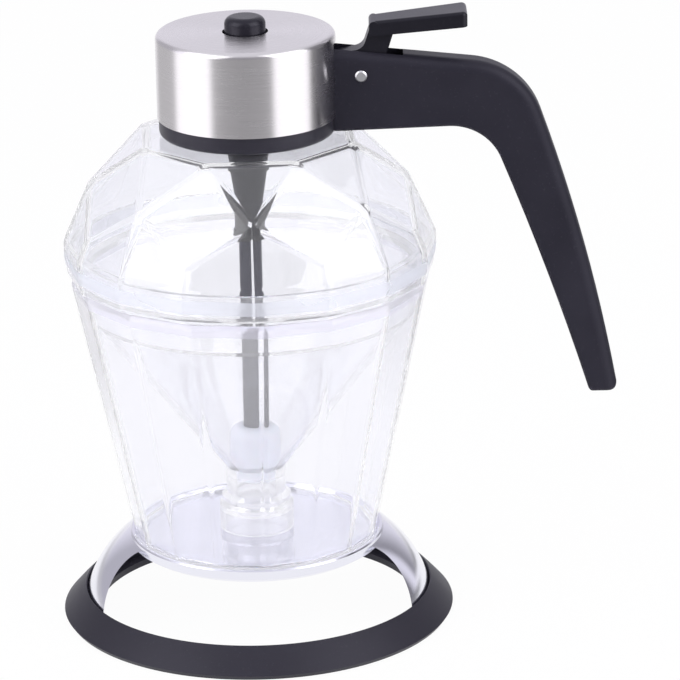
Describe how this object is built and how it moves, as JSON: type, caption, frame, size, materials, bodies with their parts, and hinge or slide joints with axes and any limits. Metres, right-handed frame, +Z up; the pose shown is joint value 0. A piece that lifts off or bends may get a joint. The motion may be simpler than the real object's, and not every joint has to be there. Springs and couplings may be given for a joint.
{
  "type": "honey dispenser",
  "caption": "Clear faceted honey jar with a steel cap, curved handle, thumb lever and plunger valve, standing in a clear drip cup on a legged ring stand.",
  "frame": {"origin": "on the jar's axis, at table height, in the middle of the base ring's foot", "axes": "+Z up along the jar's axis and the plunger, +X towards the handle and the thumb lever"},
  "size_m": [0.1594, 0.1124, 0.1771],
  "materials": {
    "black_ring": "fine matte",
    "polished_steel": "mirror polished",
    "clear_cup": "clear, polished",
    "clear_jar": "clear, polished facets",
    "clear_funnel": "clear, polished",
    "clear_outlet": "clear, slightly frosted",
    "brushed_cap": "brushed round the axis",
    "black_insert": "matte",
    "seal_silicone": "soft",
    "black_guide": "matte",
    "wiper_rubber": "soft",
    "bush_plastic": "smooth",
    "black_handle": "fine matte",
    "screw_steel": "plain",
    "pin_steel": "polished",
    "black_lever": "satin",
    "black_knob": "satin",
    "rod_steel": "drawn, dark",
    "stopper_silicone": "frosted",
    "clip_steel": "plain",
    "spring_steel": "drawn"
  },
  "bodies": {
    "stand": {"base_ring": "black_ring", "stand_frame": "polished_steel"},
    "cup": {"drip_cup": "clear_cup"},
    "jar": {"jar_dome": "clear_jar", "jar_funnel": "clear_funnel", "outlet_nozzle": "clear_outlet"},
    "cap": {"cap_shell": "brushed_cap", "cap_insert": "black_insert", "cap_seal": "seal_silicone", "guide_tube": "black_guide", "tube_wiper": "wiper_rubber", "guide_bush": "bush_plastic", "handle": "black_handle", "handle_screws": "screw_steel", "lever_pin": "pin_steel", "return_spring": "spring_steel"},
    "lever": {"lever": "black_lever"},
    "plunger": {"knob": "black_knob", "plunger_rod": "rod_steel", "stopper": "stopper_silicone", "spring_clip": "clip_steel"}
  },
  "joints": [
    {"name": "cup_lift", "type": "slide", "parent": "stand", "child": "cup", "axis": [0, 0, 1], "range_m": [0, 0.03]},
    {"name": "jar_lift", "type": "slide", "parent": "cup", "child": "jar", "axis": [0, 0, 1], "range_m": [0, 0.085]},
    {"name": "cap_lift", "type": "slide", "parent": "jar", "child": "cap", "axis": [0, 0, 1], "range_m": [0, 0.12]},
    {"name": "lever_press", "type": "hinge", "parent": "cap", "child": "lever", "pos_m": [0.0319, 0, 0.1591], "axis": [0, 1, 0], "range_deg": [0, 10]},
    {"name": "plunger_rise", "type": "slide", "parent": "cap", "child": "plunger", "axis": [0, 0, 1], "range_m": [0, 0.0055], "stiffness_N_per_m": 400, "springref_m": -0.006, "deforming": ["return_spring"]}
  ],
  "couplings": [
    {"joint": "lever_press", "follows": "plunger_rise", "rad_per_m": 31.348}
  ]
}
